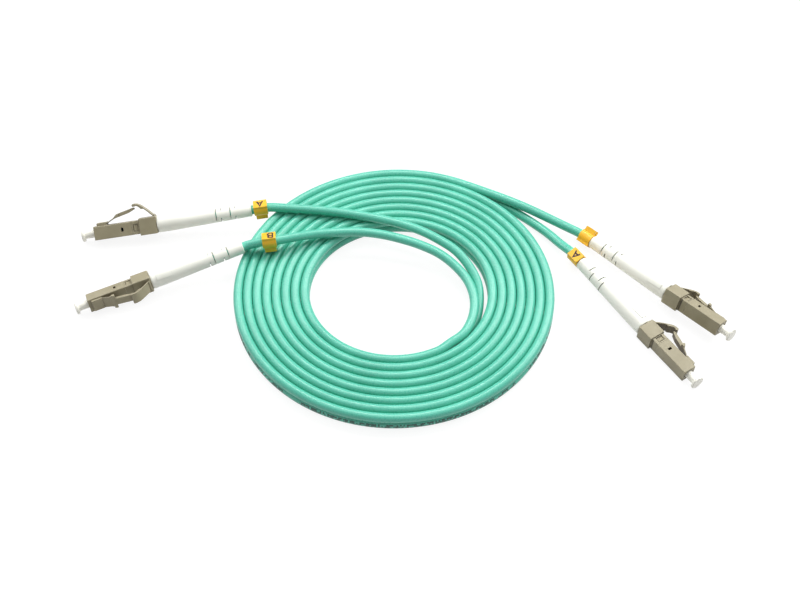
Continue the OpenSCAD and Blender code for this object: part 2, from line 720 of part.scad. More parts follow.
// Solid of the boot behind the housing, swelled by grow
module boot_body(grow) {
    rear_r = boot_rear_d / 2 + grow;
    front_r = boot_front_d / 2 + grow;
    quarter = 90 / round_steps;
    turned(concat(
        [[0, 0], [0, rear_r - boot_round]],
        [for (i = [1 : round_steps])
            [boot_round * (1 - cos(quarter * i)), rear_r - boot_round * (1 - sin(quarter * i))]],
        [[boot_len - boot_straight, front_r], [boot_len - boot_shoulder, front_r]],
        [for (i = [1 : round_steps]) [
            boot_len - boot_shoulder * (1 - sin(quarter * i)),
            front_r - (shoulder_drop + grow) * (1 - cos(quarter * i))
        ]],
        [[boot_len, 0]]
    ));
}

module boot() {
    bore_x = sleeve_x - 2 * step;
    reach = boot_front_d;
    slit_floor = cord_d / 2 - slit_bite;
    color("white") difference() {
        union() {
            boot_body(0);
            rod(boot_len - tiny, spigot_len + tiny, spigot_d);
            intersection() {
                boot_body(panel_h);
                translate([boot_len - panel_gap - panel_len, -panel_w / 2, 0])
                    cube([panel_len, panel_w, reach]);
            }
        }
        rod(-tiny, boot_len, strand_bore_d);
        rod(bore_x, boot_len + spigot_len - bore_x + tiny, spigot_bore_d);
        // Flex slits, in pairs that are turned by 90 degrees from one pair to the next
        for (i = [0, 1], quarter = [0, 1], half = [0, 180])
            rotate([90 * quarter + half, 0, 0])
                translate([slit_first + i * slit_pitch + quarter * slit_shift, -reach, slit_floor])
                    cube([slit_w, 2 * reach, reach]);
    }
}

// The clip's own frame has x along the cord and z through the flat face that carries the letter
module marker_clip() {
    jacket_r = cord_d / 2;
    ring_r = jacket_r + clip_wall;
    face_z = jacket_r + face_h;
    face_drop = 0.15;
    lip_low = jacket_r + lip_reach;
    color("orange") difference() {
        union() {
            end_profile(-clip_len / 2, clip_len) union() {
                intersection() {
                    circle(ring_r);
                    translate([-ring_r, -ring_r]) square([2 * ring_r, ring_r + face_z - face_drop]);
                }
                translate([-face_w / 2, jacket_r - 2 * face_drop]) square([face_w, face_h + 2 * face_drop]);
            }
            end_profile(-lip_len / 2, lip_len)
                translate([-lip_gap / 2 - lip_t, -lip_low]) square([lip_gap + 2 * lip_t, lip_low]);
        }
        rod(-clip_len, 2 * clip_len, strand_bore_d);
        translate([-clip_len, -lip_gap / 2, -lip_low - tiny]) cube([2 * clip_len, lip_gap, lip_low + tiny]);
    }
}

// Buffered fibre from the end of the cord's jacket, and its stripped glass through the ferrule
module buffered_fibre() {
    buffer_end = ferrule_x - step / 2;
    color("lightblue") {
        rod(cord_end_x, buffer_end - cord_end_x, fibre_d);
        rod(buffer_end - tiny, tip_x - buffer_end + tiny - step / 2, glass_d);
    }
}

// A clip sits on the straight run behind the boot, or has a place of its own where the cord bends
module on_cord(plug) {
    place = is_list(plug[6]) ? plug[6] : [on_axis(plug, -plug[6]), plug[1], plug[2]];
    translate(place[0]) rotate([plug[7], place[2], place[1]]) children();
}

module strand(start, way, route, plug) {
    path = concat(
        [start, start + cord_d / 2 * way], route, [on_axis(plug, -plug[5]), on_axis(plug, cord_end_x)]
    );
    n = len(path);
    axis = direction(plug[1], plug[2]);
    t = [for (i = [0 : n - 1]) i < 2 ? way : i > n - 3 ? axis : unit(path[i + 1] - path[i - 1])];
    outline = round_outline(cord_d, strand_sides, strand_turn);
    ends = [for (j = [0 : strand_sides - 1]) j];
    color("turquoise") polyhedron(
        [for (i = [0 : n - 1]) each ring(path[i], t[i], outline)],
        concat(tube_walls(n, strand_sides), fan(0, ends), flipped(fan((n - 1) * strand_sides, ends)))
    );
}

module cord_coil() {
    n = len(eight_outline);
    count = len(coil_path);
    last = (count - 1) * n;
    color("turquoise") polyhedron(
        [for (i = [0 : count - 1]) each ring(coil_points_3d[i], coil_tangents[i], eight_outline)],
        concat(
            tube_walls(count, n), fan(0, lower_lobe), fan(0, upper_lobe),
            flipped(fan(last, lower_lobe)), flipped(fan(last, upper_lobe))
        )
    );
}
module cord_left_a() { strand(at_height(inner_exit, lower_z), inner_way, ROUTE_LEFT_A, LEFT_A); }
module cord_left_b() { strand(at_height(inner_exit, upper_z), inner_way, ROUTE_LEFT_B, LEFT_B); }
module cord_right_a() { strand(at_height(outer_exit, lower_z), outer_way, ROUTE_RIGHT_A, RIGHT_A); }
module cord_right_b() { strand(at_height(outer_exit, upper_z), outer_way, ROUTE_RIGHT_B, RIGHT_B); }

for (i = [0 : len(SIDES) - 1]) {
    side = SIDES[i];
    plug = PLUGS[i];
    on_plug(plug) dust_cap();
    on_plug(plug) ferrule();
    on_plug(plug) ferrule_flange();
    on_plug(plug) spring();
    on_plug(plug) plug_housing();
    on_plug(plug) latch();
    on_plug(plug) rear_housing();
    on_plug(plug) trigger();
    on_plug(plug) backbone();
    on_plug(plug) crimp_sleeve();
    on_plug(plug) rotate([plug[4], 0, 0]) boot();
    on_cord(plug) marker_clip();
    on_plug(plug) buffered_fibre();
}
cord_coil();
cord_left_a();
cord_left_b();
cord_right_a();
cord_right_b();
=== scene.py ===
import json
import math
from collections import namedtuple

import bpy
from mathutils import Matrix, Vector


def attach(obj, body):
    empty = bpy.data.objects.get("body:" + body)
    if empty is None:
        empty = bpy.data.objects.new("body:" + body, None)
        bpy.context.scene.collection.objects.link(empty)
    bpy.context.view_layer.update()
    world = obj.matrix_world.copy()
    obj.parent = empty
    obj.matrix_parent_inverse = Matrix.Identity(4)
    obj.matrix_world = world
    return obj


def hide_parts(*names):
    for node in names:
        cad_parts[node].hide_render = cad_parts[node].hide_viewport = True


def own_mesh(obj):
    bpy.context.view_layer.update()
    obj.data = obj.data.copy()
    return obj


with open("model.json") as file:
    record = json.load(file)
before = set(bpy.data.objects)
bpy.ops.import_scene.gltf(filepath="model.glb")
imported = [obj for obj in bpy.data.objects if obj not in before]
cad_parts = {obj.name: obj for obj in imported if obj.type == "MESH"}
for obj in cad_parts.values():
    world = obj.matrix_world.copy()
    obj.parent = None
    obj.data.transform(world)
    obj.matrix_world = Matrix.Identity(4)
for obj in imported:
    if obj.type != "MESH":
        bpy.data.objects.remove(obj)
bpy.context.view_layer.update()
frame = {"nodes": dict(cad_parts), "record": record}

# A coiled two-strand fibre optic patch cord with an LC plug at each of its four ends. The solids of the plugs
# are the frame's own, with new materials. The springs are copies that squash, and the marker clips get their
# letters. The coil and the four free strands are replaced by two round strands and the web between them.

MM = 0.001


def link_object(name, data):
    obj = bpy.data.objects.new(name, data)
    bpy.context.scene.collection.objects.link(obj)
    return obj


# ---------------------------------------------------------------- camera

# Tilt and roll are in radians, and the distance from the origin is in metres
CAMERA_TILT = 0.921568795
CAMERA_ROLL = -0.005513
CAMERA_DISTANCE = 0.460234
FOCAL_PIXELS = 1423.298
PICTURE_WIDTH = 800
SENSOR_WIDTH = 36.0


def add_camera():
    forward = Vector((0, math.cos(CAMERA_TILT), -math.sin(CAMERA_TILT)))
    level = Vector((1, 0, 0))
    upward = level.cross(forward)
    right = level * math.cos(CAMERA_ROLL) + upward * math.sin(CAMERA_ROLL)
    up = upward * math.cos(CAMERA_ROLL) - level * math.sin(CAMERA_ROLL)
    data = bpy.data.cameras.new("camera")
    data.sensor_width = SENSOR_WIDTH
    data.lens = FOCAL_PIXELS * SENSOR_WIDTH / PICTURE_WIDTH
    data.clip_start = 0.01
    data.clip_end = 20
    camera = link_object("camera", data)
    turn = Matrix((right, up, -forward)).transposed().to_4x4()
    camera.matrix_world = Matrix.Translation(-forward * CAMERA_DISTANCE) @ turn
    bpy.context.scene.camera = camera


# ---------------------------------------------------------------- cords

# Lengths are in millimetres and turns in degrees, as in the part's source
STRAND_D = 3.0
STRAND_SIDES = 28
STRAND_SPACING = 1.6
WEB_T = 0.9
WEB_HEIGHT = 1.5
LOWER_Z = STRAND_D / 2
UPPER_Z = LOWER_Z + STRAND_D

# The coil's radius is given at the datum turn. It shrinks by the pitch with each turn and is slightly oval.
COIL_CENTRE = (-1.2, 0.65)
COIL_R = 51.25
COIL_DATUM = 40
COIL_OVAL = 0.67
COIL_START = 66
COIL_TURNS = 7.65
COIL_END = COIL_START + 360 * COIL_TURNS
COIL_STEP = 7.5
TURN_PITCH = 3.05
INNER_SWING = 10

# A free strand's straight start at the coil, its first step after that, and its reach into the boot
EXIT_RUN = 3.0
EXIT_STEP = 1.5
CORD_REACH = 28.6

ROUTE_LEFT_A = [
    (20.4, -16.4, 1.5), (24, -10, 1.6), (25.4, -3.2, 2.2), (25.1, 3.7, 3.7), (22.3, 9.9, 5.3),
    (18.2, 15.2, 6.5), (12.9, 19.2, 7.2), (7.3, 22.7, 7.5), (0.6, 25.7, 7.6), (-6, 27.8, 7.6),
    (-12.8, 29.5, 7.6), (-19.6, 30.9, 7.6), (-26.6, 31.9, 7.6), (-33.4, 32.6, 7.6), (-38.4, 33, 7.6)
]
ROUTE_LEFT_B = [
    (20, -16.8, 4.6), (23, -10.4, 4.8), (23.7, -3.6, 4.9), (22.1, 3.3, 5), (18.5, 9, 5.4),
    (13.3, 14, 6), (7.2, 17.4, 6.5), (0.8, 19.8, 6.9), (-6.2, 21.6, 7.3), (-13.4, 22.4, 7.6),
    (-20.6, 22.1, 7.8), (-27.6, 20.9, 8.5), (-33.6, 18.9, 9.5), (-39.3, 17.1, 10.1), (-45.3, 16.5, 9.7)
]
ROUTE_RIGHT_A = [
    (30, 41.9, 1.5), (36.9, 37.5, 1.5), (43.5, 32, 1.6), (49, 26.4, 2), (53.4, 20.6, 2.7)
]
ROUTE_RIGHT_B = [
    (30, 41.9, 4.5), (36.9, 38.4, 4.5), (43.5, 34.8, 4.3), (50, 31, 3.8), (55.8, 27.6, 3.3)
]

# Rear end of the boot, the plug's three turns, the strand's straight run behind the boot, and its route there
Plug = namedtuple("Plug", "rear yaw pitch roll straight route")
PLUGS = {
    "left_a": Plug((-49.3, 32.66, 7.03), 187.1, 4.3, 45.5, 6, ROUTE_LEFT_A),
    "left_b": Plug((-51.1, 16, 7.95), 201.3, 5.36, -66.5, 1.5, ROUTE_LEFT_B),
    "right_a": Plug((59.2, 12.2, 3.74), -55.4, 1.45, -92.5, 5, ROUTE_RIGHT_A),
    "right_b": Plug((63.7, 21.3, 3.3), -45.4, -2.6, -113.4, 5, ROUTE_RIGHT_B),
}

# Height of each strand in the coil, the plugs at its ends, and the nodes that it replaces
STRANDS = {
    "strand_upper": (UPPER_Z, "right_b", "left_b", ("cord_coil", "cord_right_b", "cord_left_b")),
    "strand_lower": (LOWER_Z, "right_a", "left_a", ("cord_right_a", "cord_left_a")),
}


def on_axis(side, along):
    """Point on the middle line of a plug, so far in front of its boot's rear end."""
    plug = PLUGS[side]
    yaw, pitch = math.radians(plug.yaw), math.radians(plug.pitch)
    level = math.cos(pitch)
    forward = Vector((level * math.cos(yaw), level * math.sin(yaw), -math.sin(pitch)))
    return Vector(plug.rear) + forward * along


def coil_point(degrees, z):
    angle = math.radians(degrees)
    radius = COIL_R - TURN_PITCH * (degrees - COIL_DATUM) / 360 + COIL_OVAL * math.cos(2 * angle)
    x = COIL_CENTRE[0] + radius * math.cos(angle)
    y = COIL_CENTRE[1] + radius * math.sin(angle)
    return Vector((x, y, z))


def coil_run(z):
    steps = round((COIL_END - COIL_START) / COIL_STEP)
    span = (COIL_END - COIL_START) / steps
    return [coil_point(COIL_START + span * i, z) for i in range(steps + 1)]


def way_round(degrees):
    """Direction of a turn of the coil, the way that it is wound inwards."""
    angle = math.radians(degrees)
    return Vector((-math.sin(angle), math.cos(angle), 0))


def free_run(side, coil_end, way):
    """Points of a free strand, from the coil into its plug."""
    plug = PLUGS[side]
    leave = coil_end + way * EXIT_RUN
    points = [leave, leave + way * EXIT_STEP] + [Vector(point) for point in plug.route]
    return points + [on_axis(side, -plug.straight), on_axis(side, 0), on_axis(side, CORD_REACH)]


def smooth_through(points, spacing):
    """Centripetal Catmull-Rom curve through the points, as points about one spacing apart."""
    ends = [2 * points[0] - points[1]] + points + [2 * points[-1] - points[-2]]
    out = [points[0].copy()]
    for before, start, end, after in zip(ends, ends[1:], ends[2:], ends[3:]):
        knots = [0.0]
        for a, b in ((before, start), (start, end), (end, after)):
            knots.append(knots[-1] + math.sqrt((b - a).length))
        parts = max(1, round((end - start).length / spacing))
        for i in range(1, parts + 1):
            t = knots[1] + (knots[2] - knots[1]) * i / parts
            a1 = before.lerp(start, (t - knots[0]) / (knots[1] - knots[0]))
            a2 = start.lerp(end, (t - knots[1]) / (knots[2] - knots[1]))
            a3 = end.lerp(after, (t - knots[2]) / (knots[3] - knots[2]))
            b1 = a1.lerp(a2, (t - knots[0]) / (knots[2] - knots[0]))
            b2 = a2.lerp(a3, (t - knots[1]) / (knots[3] - knots[1]))
            out.append(b1.lerp(b2, (t - knots[1]) / (knots[2] - knots[1])))
    return out


def strand_path(z, right, left):
    coil = coil_run(z)
    start = free_run(right, coil[0], -way_round(COIL_START))
    end = free_run(left, coil[-1], way_round(COIL_END + INNER_SWING))
    return smooth_through(start[::-1] + coil + end, STRAND_SPACING)


def tangents(points):
    ends = [points[0]] + points + [points[-1]]
    return [(after - before).normalized() for before, after in zip(ends, ends[2:])]


def distances(points):
    """How far along the path each of its points lies."""
    run = [0.0]
    for a, b in zip(points, points[1:]):
        run.append(run[-1] + (b - a).length)
    return run


def swept_mesh(name, points, outline):
    """Closed mesh of an outline, given as (sideways, up) points, along a path. Its uv map holds the distance
    along the path in millimetres and the share of the way round the outline."""
    up = Vector((0, 0, 1))
    run = distances(points)
    verts, faces, uvs = [], [], []
    for point, way in zip(points, tangents(points)):
        side = way.cross(up).normalized()
        rise = side.cross(way)
        verts += [(point + side * s + rise * h) * MM for s, h in outline]
    n = len(outline)
    for ring in range(len(points) - 1):
        here, there = ring * n, (ring + 1) * n
        near, far = run[ring], run[ring + 1]
        for k in range(n):
            after = (k + 1) % n
            faces.append((here + k, there + k, there + after, here + after))
            uvs += [(near, k / n), (far, k / n), (far, (k + 1) / n), (near, (k + 1) / n)]
    last = (len(points) - 1) * n
    faces += [tuple(range(n)), tuple(last + k for k in reversed(range(n)))]
    uvs += [(run[0], 0)] * n + [(run[-1], 0)] * n
    mesh = bpy.data.meshes.new(name)
    mesh.from_pydata(verts, [], faces)
    layer = mesh.uv_layers.new(name="run")
    for loop, uv in zip(layer.data, uvs):
        loop.uv = uv
    mesh.shade_smooth()
    return link_object(name, mesh)


def strand_outline():
    step = 2 * math.pi / STRAND_SIDES
    radius = STRAND_D / 2
    return [(radius * math.cos(step * k), radius * math.sin(step * k)) for k in range(STRAND_SIDES)]


def add_web(jacket):
    points = smooth_through(coil_run((LOWER_Z + UPPER_Z) / 2), STRAND_SPACING)
    t, h = WEB_T / 2, WEB_HEIGHT / 2
    web = swept_mesh("web", points, [(-t, -h), (t, -h), (t, h), (-t, h)])
    web.data.materials.append(jacket)
    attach(web, "cord")
    return web


def add_cords(jacket, printed_jacket):
    web = add_web(jacket)
    for name, (z, right, left, nodes) in STRANDS.items():
        points = strand_path(z, right, left)
        strand = swept_mesh(name, points, strand_outline())
        strand.data.materials.append(printed_jacket if name == "strand_lower" else jacket)
        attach(strand, "cord")
        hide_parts(*nodes)


# ---------------------------------------------------------------- polarity letters

# Height of a clip's face over its strand's middle line, then the letter's rise over the face and its sizes
CLIP_FACE = 2.3
LETTER_RISE = 0.02
LETTER_T = 0.05
LETTER_H = 2.3
LETTER_W = 1.9
LETTER_LINE = 0.56
LETTERS = {
    "a": [[(0, 0), (0.5, 1), (1, 0)], [(0.2, 0.34), (0.8, 0.34)]],
    "b": [
        [(0.08, 0), (0.08, 1), (0.55, 1), (0.82, 0.89), (0.82, 0.65), (0.55, 0.53), (0.08, 0.53)],
        [(0.55, 0.53), (0.92, 0.38), (0.92, 0.14), (0.6, 0), (0.08, 0)],
    ],
}

# Distance of each clip behind the boot, or none for the clip on the last stretch of its strand's route, the
# clip's turn about the strand, the letter's way up, and how far it lies off the clip's middle
Clip = namedtuple("Clip", "behind roll way_up shift")
CLIPS = {
    "left_a": Clip(3.1, 6, 1, 0),
    "left_b": Clip(None, 13, 1, -0.5),
    "right_a": Clip(2.3, 18, -1, 0),
    "right_b": Clip(2.3, 128, -1, 0),
}


def clip_place(side):
    """Matrix of a clip, with x along the strand and z out of the lettered face."""
    clip, plug = CLIPS[side], PLUGS[side]
    if clip.behind is None:
        start, end = Vector(plug.route[-2]), Vector(plug.route[-1])
        way = (end - start).normalized()
        middle = (start + end) / 2
        yaw, pitch = math.degrees(math.atan2(way.y, way.x)), math.degrees(math.asin(-way.z))
    else:
        middle = on_axis(side, -clip.behind)
        yaw, pitch = plug.yaw, plug.pitch
    turn = Matrix.Identity(4)
    for degrees, axis in ((yaw, "Z"), (pitch, "Y"), (clip.roll, "X")):
        turn = turn @ Matrix.Rotation(math.radians(degrees), 4, axis)
    return Matrix.Translation(middle) @ turn


def stroke(line, width):
    """Both edges of a mitred line of one width."""
    points = [Vector(p) for p in line]
    left, right = [], []
    for i, point in enumerate(points):
        before = (point - points[i - 1]).normalized() if i else (points[1] - point).normalized()
        after = (points[i + 1] - point).normalized() if i < len(points) - 1 else before
        middle = (before + after).normalized()
        across = Vector((-middle.y, middle.x)) * width / 2 / max(0.5, middle.dot(before))
        left.append(point + across)
        right.append(point - across)
    return left, right


def add_letter(side, ink):
    clip, place = CLIPS[side], clip_place(side)
    width, height = LETTER_W * clip.way_up, LETTER_H * clip.way_up
    verts, faces = [], []
    for line in LETTERS[side[-1]]:
        sized = [((u - 0.5) * width + clip.shift, (v - 0.5) * height) for u, v in line]
        first = len(verts)
        for pair in zip(*stroke(sized, LETTER_LINE)):
            verts += [place @ Vector((x, y, CLIP_FACE + LETTER_RISE)) * MM for x, y in pair]
        faces += [(i + 1, i + 3, i + 2, i) for i in range(first, len(verts) - 2, 2)]
    mesh = bpy.data.meshes.new(side + "_letter")
    mesh.from_pydata(verts, [], faces)
    mesh.materials.append(ink)
    letter = link_object(side + "_letter", mesh)
    solid = letter.modifiers.new("thickness", "SOLIDIFY")
    solid.thickness = LETTER_T * MM
    solid.offset = -1
    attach(letter, "cord")


# ---------------------------------------------------------------- materials

# Parts of a noise, of an edge's turn and of an occlusion's share that are stretched to a full range
NOISE_RANGE = (0.3, 0.7)
EDGE_RANGE = (0.02, 0.25)
OPEN_RANGE = (0.15, 0.9)


class Shading:
    """A node tree with short ways to add to it. A value is a number, a colour, a vector or another node's
    output."""

    def __init__(self, tree):
        self.nodes = tree.nodes
        self.links = tree.links

    def set(self, socket, value):
        if isinstance(value, bpy.types.NodeSocket):
            self.links.new(value, socket)
        elif isinstance(value, tuple):
            socket.default_value = (*value, 1)
        else:
            socket.default_value = value

    def add(self, kind, inputs, **settings):
        node = self.nodes.new("ShaderNode" + kind)
        for key, value in settings.items():
            setattr(node, key, value)
        for key, value in inputs.items():
            self.set(node.inputs[key], value)
        return node

    def math(self, operation, *values):
        return self.add("Math", dict(enumerate(values)), operation=operation).outputs[0]

    def mix(self, share, first, second):
        return self.add("Mix", {0: share, 6: first, 7: second}, data_type="RGBA").outputs[2]

    def ramp(self, source, low, high, start=0.0, end=1.0):
        inputs = {"Value": source, "From Min": low, "From Max": high, "To Min": start, "To Max": end}
        return self.add("MapRange", inputs).outputs["Result"]

    def place(self):
        return self.add("TexCoord", {}).outputs["Object"]

    def noise(self, scale, detail):
        return self.add("TexNoise", {"Vector": self.place(), "Scale": scale, "Detail": detail}).outputs["Fac"]

    def bump(self, height, strength, depth, normal=None):
        """Normal of a bumpy surface, with its depth in millimetres."""
        inputs = {"Height": height, "Strength": strength, "Distance": depth * MM}
        if normal:
            inputs["Normal"] = normal
        return self.add("Bump", inputs).outputs["Normal"]

    def rounded(self, radius):
        """Normal with all edges rounded by a radius in millimetres."""
        return self.add("Bevel", {"Radius": radius * MM}, samples=4).outputs["Normal"]

    def openness(self, reach, darkest):
        """1 in the open, falling to darkest in slots and corners that are narrower than the reach: the share
        of the colour left where shade is painted in.
        """
        node = self.add("AmbientOcclusion", {"Distance": reach * MM}, samples=8)
        return self.ramp(node.outputs["AO"], *OPEN_RANGE, darkest, 1.0)


def new_material(name):
    """Material, its node tree and the sockets of its surface."""
    material = bpy.data.materials.new(name)
    material.use_nodes = True
    shading = Shading(material.node_tree)
    return material, shading, shading.nodes["Principled BSDF"].inputs


def edge_mask(shading, rounded):
    """How far the rounded normal turns from the flat one: high along edges."""
    flat = shading.add("NewGeometry", {}).outputs["Normal"]
    dot = shading.add("VectorMath", {0: rounded, 1: flat}, operation="DOT_PRODUCT")
    return shading.ramp(shading.math("SUBTRACT", 1.0, dot.outputs["Value"]), *EDGE_RANGE)


# Painted shade of the snap fit's slit between the housings, in the plug's own millimetres: its place along
# the plug,
#  half its width, half its length across a side, and how far out the housings' faces lie
GAP_X = 37.9
GAP_HALF = 0.22
GAP_SPAN = 1.25
GAP_OUT = 2.0
GAP_SHADE_SHARE = 0.85
GAP_SHADE_COLOUR = (0.045, 0.034, 0.018)


def snap_gap_shade(shading, side):
    """1 where the slit's shade is painted: a bar on both sides of the plug and a line across its underside.
    """
    plug = PLUGS[side]
    turns = [math.radians(turn) for turn in (plug.roll, plug.pitch, plug.yaw)]
    inputs = {"Vector": shading.place(), "Location": Vector(plug.rear) * MM, "Rotation": turns}
    local = shading.add("Mapping", inputs, vector_type="TEXTURE").outputs["Vector"]
    x, y, z = shading.add("SeparateXYZ", {0: local}).outputs
    off = shading.math("ABSOLUTE", shading.math("SUBTRACT", x, GAP_X * MM))
    near = shading.math("LESS_THAN", off, GAP_HALF * MM)
    inside = shading.math("LESS_THAN", shading.math("ABSOLUTE", z), GAP_SPAN * MM)
    outside = shading.math("GREATER_THAN", shading.math("ABSOLUTE", y), GAP_OUT * MM)
    bar = shading.math("MULTIPLY", inside, outside)
    under = shading.math("LESS_THAN", z, -GAP_OUT * MM)
    return shading.math("MULTIPLY", near, shading.math("MAXIMUM", bar, under))


MOTTLE_SCALE = 180
MOTTLE_RANGE = (0.35, 0.65)
GRAIN_DEPTH = 0.01
GRAIN_ROUGH = 0.06


def moulded_plastic(name, colour, deep, edge_highlight, rough=0.45, grain=2600, edge_radius=0.12, edge_highlight_share=0.5,
                    cavity_shade=None, shade_colour=(0.02, 0.017, 0.01), gap_side=None):
    """Moulded plastic: soft mottling, a fine spark-eroded grain, and rounded edges with a painted highlight
    along them. Shade is painted into slots and corners: a reach, and how much of the colour is left in the
    deepest."""
    material, shading, surface = new_material(name)
    tone = shading.mix(shading.ramp(shading.noise(MOTTLE_SCALE, 4), *MOTTLE_RANGE), deep, colour)
    rounded = shading.rounded(edge_radius)
    # Painted highlight: the colour lightened along all edges, where the rounded normal turns
    tone = shading.mix(shading.math("MULTIPLY", edge_mask(shading, rounded), edge_highlight_share), tone, edge_highlight)
    # Painted shade: slots, corners and recesses darkened towards the shade colour
    if cavity_shade:
        tone = shading.mix(shading.openness(*cavity_shade), shade_colour, tone)
    # Painted shade of the snap fit's slit between the housings, for one plug
    if gap_side:
        gap_shade = shading.math("MULTIPLY", snap_gap_shade(shading, gap_side), GAP_SHADE_SHARE)
        tone = shading.mix(gap_shade, tone, GAP_SHADE_COLOUR)
    fine = shading.noise(grain, 2)
    shading.set(surface["Base Color"], tone)
    roughness = shading.ramp(fine, *NOISE_RANGE, rough - GRAIN_ROUGH, rough + GRAIN_ROUGH)
    shading.set(surface["Roughness"], roughness)
    shading.set(surface["Normal"], shading.bump(fine, 0.35, GRAIN_DEPTH, rounded))
    return material


# Beige housing plastic, with a painted highlight along its edges, shade painted into its slots and corners
# out to the reach, and for a side the painted shade of the snap fit's slit
def beige_plastic(name, reach, gap_side=None):
    return moulded_plastic(
        name, (0.336, 0.30, 0.196), (0.296, 0.262, 0.165), (0.58, 0.53, 0.39), edge_radius=0.24,
        edge_highlight_share=0.85, cavity_shade=(reach, 0.08), shade_colour=(0.09, 0.064, 0.026), gap_side=gap_side
    )


# Reach in millimetres and darkest share of the shade painted into the metal's hollows, and the colour of that
# shade
METAL_CAVITY_SHADE = (2, 0.1)
METAL_SHADE_COLOUR = (0.01, 0.01, 0.01)
BRUSHED_DEPTH = 0.008


def metal(name, colour, deep, rough=0.28, scale=900):
    """Brushed metal with faint stains, and with shade painted into its hollows."""
    material, shading, surface = new_material(name)
    tone = shading.mix(shading.ramp(shading.noise(scale / 4, 5), *NOISE_RANGE), deep, colour)
    # Painted shade: hollows darkened towards near black
    tone = shading.mix(shading.openness(*METAL_CAVITY_SHADE), METAL_SHADE_COLOUR, tone)
    brushed = shading.noise(scale, 2)
    shading.set(surface["Base Color"], tone)
    shading.set(surface["Roughness"], shading.ramp(brushed, *NOISE_RANGE, rough - 0.08, rough + 0.1))
    shading.set(surface["Normal"], shading.bump(brushed, 0.2, BRUSHED_DEPTH))
    shading.set(surface["Metallic"], 1.0)
    return material


AQUA = (0.102, 0.558, 0.408)
AQUA_DEEP = (0.076, 0.48, 0.345)
DRIFT_SCALE = 60
RIPPLE_SCALE = 1.9
RIPPLE_DEPTH = 0.03
JACKET_GRAIN = 2200
JACKET_ROUGH = (0.25, 0.33)
JACKET_SHEEN = 0.62

# Ink marks on the outer turn of one strand: their span along it, and the middle and half height of their band
# as shares of the way round it. Then length, height and share left out, for the marks and for their groups.
INK = (0.012, 0.075, 0.055)
INK_COVER = 0.9
PRINT_SPAN = (60, 480)
PRINT_MIDDLE = 0.03
PRINT_HALF = 0.085
MARKS = (0.5, 0.053, 0.38)
GROUPS = (6.4, 1, 0.15)


def print_mask(shading, along, around):
    """Plain marks in loose groups, with no letters in them."""
    turned = shading.math("WRAP", around, 0.5, -0.5)
    off = shading.math("ABSOLUTE", shading.math("SUBTRACT", turned, PRINT_MIDDLE))
    mask = shading.math("LESS_THAN", off, PRINT_HALF)
    for length, height, left_out in (MARKS, GROUPS):
        column = shading.math("FLOOR", shading.math("DIVIDE", along, length))
        row = shading.math("FLOOR", shading.math("DIVIDE", turned, height))
        cell = shading.add("CombineXYZ", {0: column, 1: row}).outputs[0]
        random = shading.add("TexWhiteNoise", {"Vector": cell}, noise_dimensions="2D").outputs["Value"]
        mask = shading.math("MULTIPLY", mask, shading.math("GREATER_THAN", random, left_out))
    for operation, limit in zip(("GREATER_THAN", "LESS_THAN"), PRINT_SPAN):
        mask = shading.math("MULTIPLY", mask, shading.math(operation, along, limit))
    return mask


def jacket_material(name, printed):
    """Aqua jacket with a fine extruder ripple across it and a soft colour drift, and ink marks if printed."""
    material, shading, surface = new_material(name)
    uv = shading.add("UVMap", {}, uv_map="run").outputs["UV"]
    along, around = shading.add("SeparateXYZ", {0: uv}).outputs[:2]
    tone = shading.mix(shading.ramp(shading.noise(DRIFT_SCALE, 3), *NOISE_RANGE), AQUA_DEEP, AQUA)
    if printed:
        mask = shading.math("MULTIPLY", print_mask(shading, along, around), INK_COVER)
        tone = shading.mix(mask, tone, INK)
    inputs = {"W": along, "Scale": RIPPLE_SCALE, "Detail": 2}
    ripple = shading.add("TexNoise", inputs, noise_dimensions="1D")
    fine = shading.noise(JACKET_GRAIN, 2)
    height = shading.math("ADD", ripple.outputs["Fac"], shading.math("MULTIPLY", fine, 0.5))
    shading.set(surface["Base Color"], tone)
    shading.set(surface["Roughness"], shading.ramp(fine, *NOISE_RANGE, *JACKET_ROUGH))
    shading.set(surface["Specular IOR Level"], JACKET_SHEEN)
    shading.set(surface["Normal"], shading.bump(height, 0.8, RIPPLE_DEPTH))
    return material


# Reach in millimetres of the shade painted under the lever and trigger, and into the housings' slots and
# corners
LEVER_SHADE_REACH = 6
HOUSING_SHADE_REACH = 2.8


